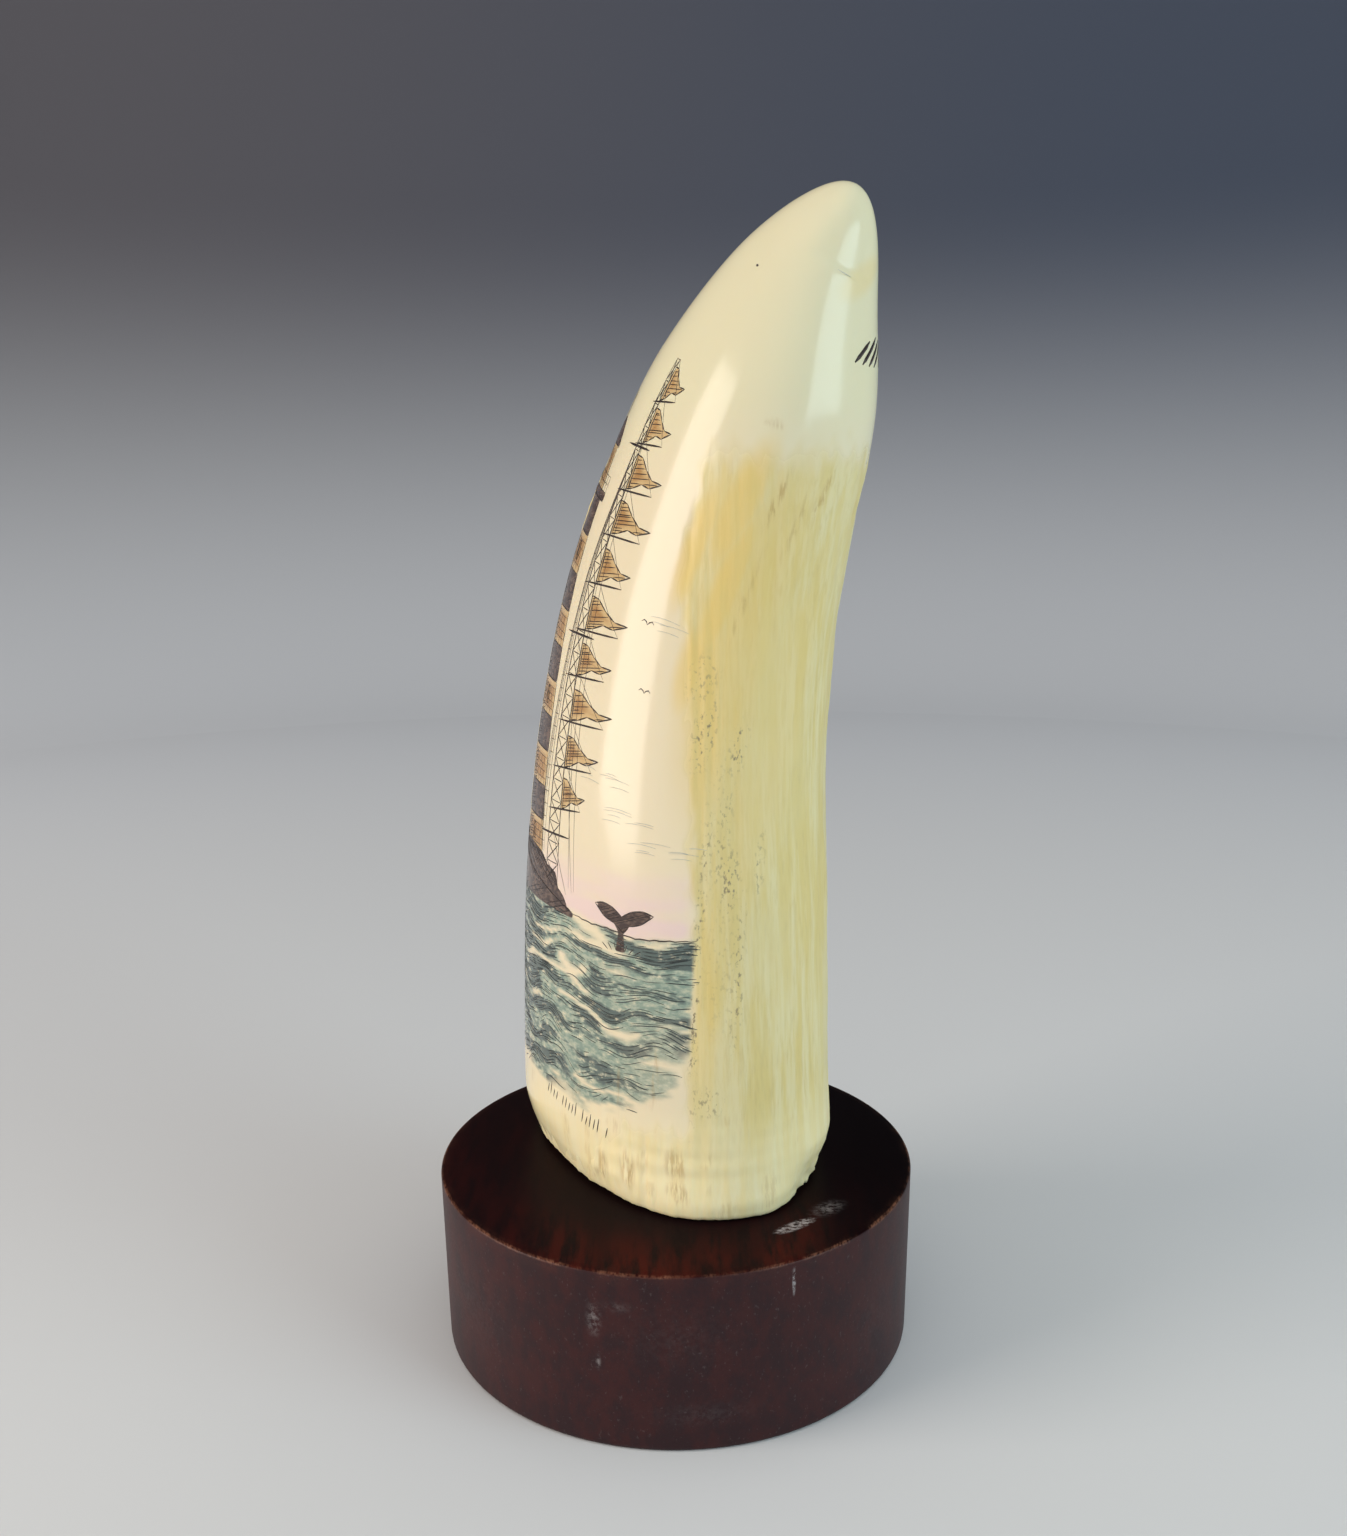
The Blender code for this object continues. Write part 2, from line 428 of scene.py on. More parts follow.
class Finish:
    """A material that is built up from nodes."""

    def __init__(self, name):
        self.material = bpy.data.materials.new(name)
        self.material.use_nodes = True
        self.tree = self.material.node_tree
        self.shader = self.tree.nodes["Principled BSDF"]
        self.place = self.node("TexCoord", {})["Object"]

    def feed(self, socket, value):
        if isinstance(value, bpy.types.NodeSocket):
            self.tree.links.new(value, socket)
        elif socket.type == "RGBA" and len(value) == 3:
            socket.default_value = (*value, 1.0)
        else:
            socket.default_value = value

    def put(self, name, value):
        """Set one of the shader's own sockets to a constant, or feed it from a node."""
        self.feed(self.shader.inputs[name], value)

    def node(self, kind, values, **options):
        """Add a node, set its options and feed its sockets. Returns its outputs."""
        node = self.tree.nodes.new("ShaderNode" + kind)
        for name, option in options.items():
            setattr(node, name, option)
        for name, value in values.items():
            self.feed(node.inputs[name], value)
        return node.outputs

    def attribute(self, name):
        return self.node("Attribute", {}, attribute_name=name)["Fac"]

    def math(self, operation, first, second=0.0, third=0.0, clamp=False):
        values = {0: first, 1: second, 2: third}
        return self.node("Math", values, operation=operation, use_clamp=clamp)[0]

    def times(self, first, second):
        return self.math("MULTIPLY", first, second)

    def step(self, value, low, high):
        """A soft step from 0 to 1 between two values."""
        values = {"Value": value, "From Min": low, "From Max": high}
        return self.node("MapRange", values, interpolation_type="SMOOTHSTEP")["Result"]

    def mix(self, amount, first, second):
        return self.node("Mix", {0: amount, 6: first, 7: second}, data_type="RGBA")[2]

    def noise(self, size, detail=3.0, stretch=(1.0, 1.0, 1.0), roughness=0.55, bend=0.0):
        """Cloudy variation with patches of about the given size in metres."""
        place = self.node("Mapping", {"Vector": self.place, "Scale": stretch})["Vector"]
        values = {
            "Vector": place, "Scale": 1.0 / size, "Detail": detail,
            "Roughness": roughness, "Distortion": bend,
        }
        return self.node("TexNoise", values)["Fac"]

    def bump(self, height, strength, distance):
        values = {"Height": height, "Strength": strength, "Distance": distance}
        self.put("Normal", self.node("Bump", values)["Normal"])

    def patch(self, centre, sizes, turn):
        """1 inside an oval patch around a point, falling to 0 at its edge. Millimetres."""
        values = {
            "Vector": self.place,
            "Location": Vector(centre) * MM,
            "Rotation": (0.0, 0.0, math.radians(turn)),
            "Scale": Vector(sizes) * MM,
        }
        place = self.node("Mapping", values, vector_type="TEXTURE")["Vector"]
        length = self.node("VectorMath", {0: place}, operation="LENGTH")["Value"]
        return self.math("SUBTRACT", 1.0, length, clamp=True)


FLOOR_COLOUR = (0.64, 0.645, 0.65)
FLOOR_FAR = (0.65, 0.665, 0.69)
DUSK_WARM = (0.134, 0.126, 0.138)
DUSK_COOL = (0.081, 0.097, 0.136)
FLOOR_RADIUS = 0.62
SWEEP_RADIUS = 0.45
SWEEP_TOP = 1.5
SWEEP_STEPS = 24
STAGE_SIDES = 128


def graded_paper():
    """Pale paper that grows darker as it rises, a little warmer on the left."""
    finish = Finish("graded_paper")
    x, y, rise = finish.node("SeparateXYZ", {0: finish.place})
    away = finish.math("SQRT", finish.math("ADD", finish.times(x, x), finish.times(y, y)))
    lift = finish.step(finish.math("MULTIPLY_ADD", away, 0.16, rise), 0.05, 0.54)
    floor = finish.mix(finish.step(away, 0.20, 0.60), FLOOR_COLOUR, FLOOR_FAR)
    dusk = finish.mix(finish.step(x, -0.6, 0.5), DUSK_WARM, DUSK_COOL)
    finish.put("Base Color", finish.mix(lift, floor, dusk))
    finish.put("Roughness", 0.9)
    finish.put("Specular IOR Level", 0.1)
    return finish.material


def spin_profile(name, profile, sides):
    """Turn a profile of radius and height all the way round."""
    bm = bmesh.new()
    verts = [bm.verts.new((x, 0.0, z)) for x, z in profile]
    edges = [bm.edges.new(pair) for pair in zip(verts, verts[1:])]
    axis = (0.0, 0.0, 1.0)
    bmesh.ops.spin(bm, geom=verts + edges, axis=axis, angle=TURN, steps=sides, use_merge=True)
    bmesh.ops.remove_doubles(bm, verts=bm.verts, dist=0.001 * MM)
    mesh = to_mesh(name, bm)
    mesh.shade_smooth()
    return mesh


def lay_stage():
    """A pale round floor, and a plain backdrop that curves up from its edge."""
    paper = graded_paper()
    flat = [(share * FLOOR_RADIUS, 0.0) for share in (0.0, 0.5, 1.0)]
    curve = [(FLOOR_RADIUS, 0.0)]
    for step in range(1, SWEEP_STEPS + 1):
        turn = 0.5 * math.pi * step / SWEEP_STEPS
        out = FLOOR_RADIUS + SWEEP_RADIUS * math.sin(turn)
        curve.append((out, SWEEP_RADIUS * (1.0 - math.cos(turn))))
    curve.append((FLOOR_RADIUS + SWEEP_RADIUS, SWEEP_TOP))
    sheets = []
    for name, profile in (("floor", flat), ("backdrop", curve)):
        mesh = spin_profile(name, profile, STAGE_SIDES)
        mesh.materials.append(paper)
        sheets.append(link_object(name, mesh))
    floor, backdrop = sheets
    backdrop.visible_diffuse = False
    backdrop.visible_shadow = False


LIGHT_TARGET = (0.0, -0.01, 0.10)
# Lights: name, degrees right of the camera, distance, height, width, tall, roll, power, colour, use
LIGHTS = (
    ("window_left", -70.5, 0.50, 0.225, 0.29, 0.47, -14.0, 1.90, (1.0, 0.91, 0.83), "gloss"),
    ("soft_left", -72.0, 1.20, 0.46, 0.70, 0.72, 0.0, 11.4, (1.0, 0.91, 0.83), "soft"),
    ("low_left", -58.0, 0.22, 0.07, 0.14, 0.06, 0.0, 0.045, (1.0, 0.84, 0.66), "soft"),
    ("window_right", 57.0, 0.55, 0.245, 0.32, 0.28, 0.0, 0.95, (0.74, 0.93, 1.0), "both"),
    ("soft_right", 64.0, 1.20, 0.38, 1.00, 0.55, 0.0, 4.4, (0.72, 0.92, 1.0), "soft"),
    ("ceiling", 20.0, 0.30, 1.00, 1.40, 1.40, 0.0, 5.0, (1.0, 0.99, 0.97), "soft"),
)
ROOM_COLOUR = (0.235, 0.24, 0.25)


def hang_lights():
    for name, turn, away, height, width, tall, roll, power, colour, use in LIGHTS:
        data = bpy.data.lights.new(name, "AREA")
        data.shape = "RECTANGLE"
        data.size = width
        data.size_y = tall
        data.energy = power
        data.color = colour
        light = link_object(name, data)
        angle = math.radians(turn)
        light.location = (away * math.sin(angle), -away * math.cos(angle), height)
        aim = Vector(LIGHT_TARGET) - light.location
        if use != "soft":
            aim.z = 0.0
        turned = aim.to_track_quat("-Z", "Y") @ Quaternion((0.0, 0.0, 1.0), math.radians(roll))
        light.rotation_euler = turned.to_euler()
        light.visible_glossy = use != "soft"
        light.visible_diffuse = use != "gloss"
    world = bpy.data.worlds.new("room")
    world.use_nodes = True
    background = world.node_tree.nodes["Background"]
    background.inputs["Color"].default_value = (*ROOM_COLOUR, 1.0)
    background.inputs["Strength"].default_value = 1.0
    bpy.context.scene.world = world
    bpy.context.scene.view_settings.view_transform = "Standard"


# Colours of the tooth
CREAM = (0.79, 0.69, 0.485)
TIP_CREAM = (0.75, 0.695, 0.47)
NATURAL = (0.68, 0.55, 0.22)
NATURAL_PALE = (0.73, 0.64, 0.355)
NATURAL_DULL = (0.58, 0.46, 0.19)
# Yellow of the gold stains, also laid on a patch of painted shade by the tip's crease
GOLD_AND_SHADE_TONE = (0.78, 0.56, 0.17)
# The foot's own peach and pale tones, lightened far past them as painted light against the shade of
# the dark base
ROOT_PEACH_WITH_PAINTED_LIGHT = (1.0, 0.865, 0.50)
ROOT_PALE_WITH_PAINTED_LIGHT = (1.0, 0.90, 0.58)
STAIN = (0.42, 0.25, 0.07)
SPECK = (0.27, 0.215, 0.125)
SEA_DEEP = (0.050, 0.095, 0.100)
SEA_MIDDLE = (0.19, 0.285, 0.24)
SEA_PALE = (0.355, 0.425, 0.335)
DUSK_PINK = (0.79, 0.58, 0.62)
DARK_FILL = (0.060, 0.038, 0.033)
DARK_FILL_LIGHT = (0.150, 0.100, 0.078)
TAN_FILL = (0.43, 0.245, 0.10)
TAN_FILL_PALE = (0.62, 0.44, 0.22)
RAW_ROUGHNESS = 0.46
POLISHED_ROUGHNESS = 0.12


def finish_ivory():
    """Cream polish over a matte yellow root with streaks, stains and dark specks; the peach foot is
    lightened as painted light, and a yellow patch by the tip's crease is painted shade.
    """
    finish = Finish("scrimshaw_ivory")
    polish = finish.attribute("polish")
    streaks = finish.noise(1.8 * MM, 4.0, (1.0, 1.0, 0.06), 0.6)
    fine = finish.noise(0.55 * MM, 3.0, (1.0, 1.0, 0.12), 0.6)
    clouds = finish.noise(14.0 * MM, 3.0, (1.0, 1.0, 0.5))
    natural = finish.mix(finish.step(streaks, 0.38, 0.66), NATURAL, NATURAL_PALE)
    natural = finish.mix(finish.times(finish.step(fine, 0.45, 0.75), 0.5), natural, NATURAL_DULL)
    natural = finish.mix(finish.times(finish.step(clouds, 0.35, 0.7), 0.55), natural, NATURAL_PALE)
    polished = finish.mix(finish.attribute("tip"), CREAM, TIP_CREAM)
    colour = finish.mix(polish, natural, polished)
    # Gold stains, and one dull yellow patch of painted shade beside the tip's crease
    colour = finish.mix(finish.attribute("gold_and_shade"), colour, GOLD_AND_SHADE_TONE)
    # Painted light: the foot takes its peach tone, lightened against the shade of the dark base
    root_tone_with_painted_light = finish.mix(finish.step(streaks, 0.35, 0.65), ROOT_PEACH_WITH_PAINTED_LIGHT, ROOT_PALE_WITH_PAINTED_LIGHT)
    colour = finish.mix(finish.attribute("root"), colour, root_tone_with_painted_light)
    colour = finish.mix(finish.times(finish.attribute("dusk"), 0.62), colour, DUSK_PINK)
    dabs = finish.noise(1.5 * MM, 3.0, (1.0, 1.0, 2.2), 0.6)
    ruffle = finish.math("SUBTRACT", dabs, 0.5)
    trough = finish.math("MULTIPLY_ADD", ruffle, 1.3, finish.attribute("trough"))
    water = finish.mix(finish.step(dabs, 0.40, 0.62), SEA_PALE, SEA_MIDDLE)
    water = finish.mix(finish.step(trough, 0.30, 0.85), water, SEA_DEEP)
    wash = finish.times(finish.attribute("sea"), finish.step(dabs, 0.18, 0.46))
    colour = finish.mix(finish.times(wash, 0.92), colour, water)
    tan = finish.attribute("tan_fill")
    flag = finish.mix(finish.step(tan, 0.25, 1.3), TAN_FILL_PALE, TAN_FILL)
    colour = finish.mix(finish.step(tan, -0.05, 0.10), colour, flag)
    slate = finish.mix(finish.step(dabs, 0.42, 0.62), DARK_FILL, DARK_FILL_LIGHT)
    colour = finish.mix(finish.step(finish.attribute("dark_fill"), -0.05, 0.10), colour, slate)
    stain = finish.times(finish.attribute("stain"), finish.step(fine, 0.40, 0.62))
    colour = finish.mix(stain, colour, STAIN)
    speck = finish.step(finish.noise(0.5 * MM, 3.0, (1.0, 1.0, 0.6)), 0.53, 0.69)
    speck = finish.times(speck, finish.attribute("specks"))
    colour = finish.mix(speck, colour, SPECK)
    finish.put("Base Color", colour)
    rough = finish.math("MULTIPLY_ADD", polish, POLISHED_ROUGHNESS - RAW_ROUGHNESS, RAW_ROUGHNESS)
    rough = finish.math("MULTIPLY_ADD", fine, 0.05, rough)
    finish.put("Roughness", rough)
    finish.put("IOR", 1.49)
    finish.put("Subsurface Weight", 0.12)
    finish.put("Subsurface Radius", (1.0, 0.7, 0.4))
    finish.put("Subsurface Scale", 1.2 * MM)
    depth = finish.times(fine, finish.math("SUBTRACT", 1.0, polish))
    finish.bump(depth, 0.35, 0.12 * MM)
    return finish.material


# Patches in mm: distance across the face, height above the root, half sizes, and their strength
GOLD_AND_SHADE_PATCHES = (
    (14.6, 101.0, 2.4, 12.0, 0.60),
    (18.5, 108.0, 3.6, 12.0, 0.65),
    (21.0, 97.0, 3.0, 16.0, 0.75),
    (19.5, 84.0, 3.0, 10.0, 0.60),
    (26.0, 104.0, 1.6, 9.0, 0.30),
    (25.0, 88.0, 9.0, 36.0, 0.50),
    (33.0, 76.0, 8.0, 36.0, 0.30),
    # Darker and yellower low on the left of the root
    (-6.0, 7.0, 8.0, 6.0, 0.28),
    # Painted shade: a dull, darker yellow patch beside the tip's crease, where that facet turns from
    # the light
    (15.5, 138.5, 3.4, 4.0, 0.30),
    (28.0, 36.0, 2.6, 26.0, 0.30),
)
SPECK_PATCHES = (
    (21.5, 83.0, 3.0, 5.0, 0.60),
    (23.5, 75.0, 2.2, 8.0, 1.00),
    (28.8, 73.5, 1.6, 5.5, 1.00),
    (30.3, 52.0, 1.9, 7.0, 1.00),
    (34.7, 55.0, 1.0, 7.0, 0.80),
    (26.4, 40.0, 1.0, 34.0, 1.00),
    (32.5, 38.0, 1.2, 16.0, 0.90),
    (28.5, 60.0, 1.2, 12.0, 0.70),
    (28.8, 18.5, 3.2, 3.2, 0.70),
    (27.5, 62.0, 3.2, 18.0, 0.24),
    (30.0, 40.0, 3.2, 16.0, 0.24),
)
STAIN_PATCHES = (
    (10.4, 5.0, 1.6, 3.4, 0.55),
    (15.7, 6.0, 1.8, 4.0, 0.62),
    (24.0, 8.3, 2.4, 3.2, 0.50),
    (24.1, 4.0, 2.4, 2.4, 0.50),
    (20.7, 21.5, 0.7, 6.5, 0.40),
    (14.2, 19.0, 0.5, 6.0, 0.30),
    (22.8, 110.0, 0.7, 6.0, 0.55),
    (27.0, 108.0, 0.6, 7.0, 0.35),
    (29.4, 112.5, 0.6, 5.0, 0.60),
    (17.7, 118.9, 1.8, 0.7, 0.35),
    (24.0, 96.0, 0.6, 9.0, 0.35),
)


def patches(across, height, table):
    """The strongest of a table's soft oval patches at each place."""
    total = np.zeros_like(across)
    for centre, up, half_across, half_up, strength in table:
        x = (across - centre * MM) / (half_across * MM)
        y = (height - up * MM) / (half_up * MM)
        inside = 1.0 - soft_step(np.sqrt(x ** 2 + y ** 2), 0.35, 1.0)
        total = np.maximum(total, strength * inside)
    return total


def carve_tooth(face_map):
    """The whole skin of the tooth, with its relief and what its colours go by."""
    mesh = roll_skin()
    share = read_floats(mesh, "share")
    angle = read_floats(mesh, "angle")
    points, normals, across, polish = tooth_skin(share, angle, face_map)
    mesh.vertices.foreach_set("co", points.astype(np.float32).ravel())
    mesh.update()
    mesh.shade_smooth()
    height = share * TOOTH_LENGTH
    write_floats(mesh, "polish", polish)
    # Gold stains, and one patch of painted shade beside the tip's crease
    write_floats(mesh, "gold_and_shade", patches(across, height, GOLD_AND_SHADE_PATCHES))
    write_floats(mesh, "specks", patches(across, height, SPECK_PATCHES))
    write_floats(mesh, "tip", soft_step(points[:, 2], 132.0 * MM, 150.0 * MM))
    # Painted light: a band at the foot, all round the tooth and strongest on the face, where the tone
    # is lightened against the shade of the dark base
    face_side = 1.0 - 0.45 * soft_step(np.abs(across), 22.0 * MM, 34.0 * MM)
    root = face_side * (1.0 - soft_step(height, 3.0 * MM, 20.0 * MM))
    write_floats(mesh, "root", root)
    low = 1.0 - soft_step(height, 12.0 * MM, 20.0 * MM)
    blotches = soft_step(grain(points, 5.0 * MM, 8.0 * MM, 31), 0.9, 1.8)
    stain = np.maximum(0.22 * low * blotches, patches(across, height, STAIN_PATCHES))
    write_floats(mesh, "stain", stain)
    write_picture(mesh, across / MM, height / MM)
    for name in ("share", "angle"):
        mesh.attributes.remove(mesh.attributes[name])
    mesh.materials.append(finish_ivory())
    tooth = link_object("carved_tooth", mesh)
    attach(tooth, "root")
    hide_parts("whale_tooth")


# The picture on the face, in millimetres across the face and up from the cut root
HORIZON = 43.0
SEA_DEPTH = 29.3
SEA_HALF_WIDTH = 26.3
SWELL_GAP = 3.0
SWELL_GROWTH = 0.085
# Waves that bend the sea's lines: length, height, drift with depth, start
SWELLS = (
    (23.0, 0.75, 0.35, 0.6),
    (13.0, 0.50, -0.55, 2.1),
    (7.5, 0.22, 0.80, 4.0),
)
TOWER_X = -11.5
TOWER_SILLS = (51.4, 71.4, 91.4)
TOWER_FOOT = 50.0
TOWER_TOP = 100.0
TOWER_HALF_FOOT = 4.3
TOWER_HALF_TOP = 2.7
TOWER_BANDS = 10
MAST_FOOT = (-3.4, 46.5)
MAST_TOP = (-2.2, 121.0)
MAST_HALF_FOOT = 1.9
MAST_HALF_TOP = 0.4
# Pennants on the mast: height and length
PENNANTS = (
    (117.6, 4.2), (112.0, 5.6), (105.8, 7.6), (99.6, 8.8), (93.0, 7.8),
    (86.6, 9.8), (80.0, 8.4), (73.4, 10.2), (66.6, 8.6), (60.4, 6.4),
)
# A pennant's outline: share of its length, and height above its middle
PENNANT_EDGE = (
    (0.0, 2.3), (0.2, 2.3), (0.45, 1.2), (0.7, 0.4), (1.0, 0.5),
    (0.7, -0.7), (0.45, -0.7), (0.2, -1.8), (0.0, -2.3),
)
MAST_STEP = 3.1
# Yards on the mast: height and half length
YARDS = ((54.0, 4.6), (83.2, 4.0), (109.0, 3.0))
# Stays: height on the mast, and the place of their foot
STAYS = (
    (119.0, 3.4, 46.6),
    (109.0, 1.9, 46.8),
    (83.0, 2.8, 46.2),
    (119.0, -8.0, 52.0),
    (54.0, 1.2, 45.6),
)
LADDER_FEET = (-8.6, -7.6, -6.6)
LADDER_LOW = 50.5
LADDER_HIGH = 109.0
SHORE_END = 2.5
HEADLAND = (
    (-26.4, 42.4), (-26.4, 50.4), (-22.0, 51.0), (-17.0, 50.5), (-12.0, 50.8),
    (-7.2, 50.2), (-5.0, 48.8), (-2.2, 48.2), (-1.2, 46.0), (0.4, 45.2),
    (1.6, 43.8), (3.4, 43.1), (3.6, 42.4),
)
FLUKE = (
    (13.3, 40.0), (15.1, 40.0), (14.7, 43.0), (15.6, 44.2), (17.6, 44.8),
    (19.6, 46.4), (17.9, 46.9), (15.9, 46.5), (14.2, 45.4), (12.5, 46.5),
    (10.5, 46.9), (8.8, 46.4), (10.8, 44.8), (12.8, 44.2), (13.7, 43.0),
)
# Gulls: place and length of a wing
GULLS = (
    (11.5, 88.5, 1.1), (13.5, 79.0, 1.0), (-19.5, 84.0, 1.4), (-22.0, 79.5, 1.1),
    (-18.0, 70.0, 1.2),
)
# The short crease on the tip, and the tiny pit below it as its left, right and height
TIP_CREASE = ((9.4, 138.7), (11.0, 138.4), (13.6, 138.2))
TIP_PIT = (1.2, 1.7, 134.5)
# Clouds: start, end and height
CLOUDS = (
    (8.0, 15.5, 61.0), (14.0, 25.0, 57.0), (3.0, 12.0, 66.0),
    (11.5, 15.5, 90.0), (-25.0, -18.5, 68.0), (-24.0, -17.5, 92.0),
)


def flat_grain(across, up, size, seed, stretch=3.0):
    """Smooth random variation over the picture, longer along the waves than across them."""
    flat = np.stack([across / stretch, np.zeros_like(across), up], axis=-1)
    return grain(flat, size, size, seed)


def swell_lift(across, up):
    """How far the waves lift the sea's lines."""
    depth = HORIZON - up
    lift = np.zeros_like(across)
    for length, height, drift, start in SWELLS:
        lift = lift + height * np.sin(TURN * (across + drift * depth) / length + start)
    return lift * (0.45 + 0.035 * np.clip(depth, 0.0, SEA_DEPTH))


def skyline(across):
    """Height of the sea's upper edge."""
    return HORIZON + 0.7 * swell_lift(across, np.full_like(across, HORIZON))


def sea_tone(across, up):
    """How dark each place of the sea is, and where it breaks into foam."""
    level = np.maximum(HORIZON - up + swell_lift(across, up), 0.0)
    row = np.log1p(SWELL_GROWTH * level / SWELL_GAP) / SWELL_GROWTH
    row = row + 0.30 * flat_grain(across, up, 9.0, 41)
    phase = row - np.floor(row)
    strength = 0.76 + 0.74 * soft_step(-across, -3.0, 9.0)
    strength = strength - 0.32 * soft_step(HORIZON - up, 10.0, 24.0)
    strength = strength + 0.30 * flat_grain(across, up, 6.0, 42)
    trough = soft_step(phase, 0.08, 0.30) * (1.0 - soft_step(phase, 0.50, 0.95)) * strength
    trough = np.maximum(trough, 0.48 * soft_step(-across, 0.0, 8.0))
    crest = 1.0 - soft_step(np.minimum(phase, 1.0 - phase), 0.06, 0.20)
    broken = flat_grain(across, up, 7.0, 43) - soft_step(-across, -2.0, 9.0)
    return np.clip(trough, 0.0, 1.0), crest * soft_step(broken, -0.2, 0.6)


def sea_edge(across, up):
    """How far inside the sea each place lies, from its top, its sides and its foot."""
    top = skyline(across) - up
    side = SEA_HALF_WIDTH - np.abs(across)
    depth = np.clip(HORIZON - up, 0.0, None)
    reach = (np.abs(across + 1.0) / 29.0) ** 4 + (depth / SEA_DEPTH) ** 2.6
    return top, side, (1.0 - reach) * 10.0


def inside_shape(across, up, corners):
    """Distance to the outline of a shape, above zero inside it."""
    nearest = np.full(across.shape, 1e9)
    inside = np.zeros(across.shape, dtype=bool)
    for (x0, y0), (x1, y1) in zip(corners, corners[1:] + corners[:1]):
        dx = x1 - x0
        dy = y1 - y0
        t = np.clip(((across - x0) * dx + (up - y0) * dy) / (dx * dx + dy * dy), 0.0, 1.0)
        nearest = np.minimum(nearest, np.hypot(across - x0 - t * dx, up - y0 - t * dy))
        crosses = (y0 > up) != (y1 > up)
        if dy != 0.0:
            inside ^= crosses & (across < x0 + (up - y0) * dx / dy)
    return np.where(inside, nearest, -nearest)


def tower_half(up):
    share = (up - TOWER_FOOT) / (TOWER_TOP - TOWER_FOOT)
    return TOWER_HALF_FOOT + (TOWER_HALF_TOP - TOWER_HALF_FOOT) * share


def box_shape(left, right, low, high):
    return ((left, low), (right, low), (right, high), (left, high))


def tower_bands():
    """The tower's bands from its foot upward."""
    levels = np.linspace(TOWER_FOOT, TOWER_TOP, TOWER_BANDS + 1)
    bands = []
    for low, high in zip(levels, levels[1:]):
        foot = tower_half(low)
        top = tower_half(high)
        bands.append((
            (TOWER_X - foot, low), (TOWER_X + foot, low),
            (TOWER_X + top, high), (TOWER_X - top, high),
        ))
    return bands


def mast_at(up, side=0.0):
    """Where the mast stands at a height; side is -1 for its left post and 1 for its right post."""
    share = (up - MAST_FOOT[1]) / (MAST_TOP[1] - MAST_FOOT[1])
    half = MAST_HALF_FOOT + (MAST_HALF_TOP - MAST_HALF_FOOT) * share
    return MAST_FOOT[0] + (MAST_TOP[0] - MAST_FOOT[0]) * share + side * half


def pennant(up, reach):
    """A long pointed flag that streams to the right of the mast."""
    left = mast_at(up, 1.0)
    return tuple((left + reach * x, up + y) for x, y in PENNANT_EDGE)


LANTERN = box_shape(TOWER_X - 1.8, TOWER_X + 1.8, 101.2, 107.2)
GALLERY = box_shape(TOWER_X - 4.0, TOWER_X + 4.0, 100.0, 101.2)
DOME_EDGE = ((-2.6, 107.2), (2.6, 107.2), (1.6, 109.4), (0.4, 110.8), (-0.4, 110.8), (-1.6, 109.4))
DOME = tuple((TOWER_X + x, y) for x, y in DOME_EDGE)
COTTAGE = box_shape(-24.6, -18.8, 50.6, 54.8)
COTTAGE_ROOF = ((-25.3, 54.8), (-18.1, 54.8), (-19.7, 58.0), (-23.7, 58.0))
CHIMNEY = box_shape(-23.0, -21.9, 58.0, 59.8)


def write_picture(mesh, across, up):
    """Store the washes of the picture on the skin."""
    top, side, foot = sea_edge(across, up)
    ragged = 0.5 * flat_grain(across, up, 3.0, 44)
    sea = soft_step(top, -0.15, 0.25) * soft_step(side, 0.0, 0.7) * soft_step(foot + ragged, -0.6, 1.4)
    sea *= 1.0 - 0.25 * soft_step(across, 12.0, 24.0) * soft_step(HORIZON - up, 9.0, 20.0)
    trough, foam = sea_tone(across, up)
    write_floats(mesh, "sea", sea * (1.0 - foam))
    write_floats(mesh, "trough", trough)
    bands = tower_bands()
    pennants = [pennant(up, reach) for up, reach in PENNANTS]
    washes = {
        "dark_fill": [*bands[1::2], GALLERY, DOME, CHIMNEY, HEADLAND, FLUKE],
        "tan_fill": [*bands[0::2], LANTERN, COTTAGE_ROOF, *pennants],
    }
    for name, shapes in washes.items():
        depths = [inside_shape(across, up, shape) for shape in shapes]
        write_floats(mesh, name, np.max(depths, axis=0))
    dusk = soft_step(-top, -0.3, 0.6) * (1.0 - soft_step(-top, 3.0, 12.5))
    dusk *= soft_step(side, 0.2, 3.0)
    dusk *= 0.85 + 0.25 * flat_grain(across, up, 6.0, 45)
    write_floats(mesh, "dusk", np.clip(dusk, 0.0, 1.0))


def resample(path, spacing):
    """Points at even steps along a path."""
    path = np.array(path, dtype=float)
    steps = np.hypot(*np.diff(path, axis=0).T)
    run = np.concatenate([[0.0], np.cumsum(steps)])
    places = np.linspace(0.0, run[-1], max(4, int(math.ceil(run[-1] / spacing)) + 1))
    return np.column_stack([np.interp(places, run, path[:, 0]), np.interp(places, run, path[:, 1])])


def line(strokes, start, end, width):
    strokes.append(((start, end), width))


def upright(strokes, x, low, high, width):
    line(strokes, (x, low), (x, high), width)


def level_line(strokes, left, right, up, width):
    line(strokes, (left, up), (right, up), width)


def outline(strokes, corners, width):
    for start, end in zip(corners, corners[1:] + corners[:1]):
        line(strokes, start, end, width)


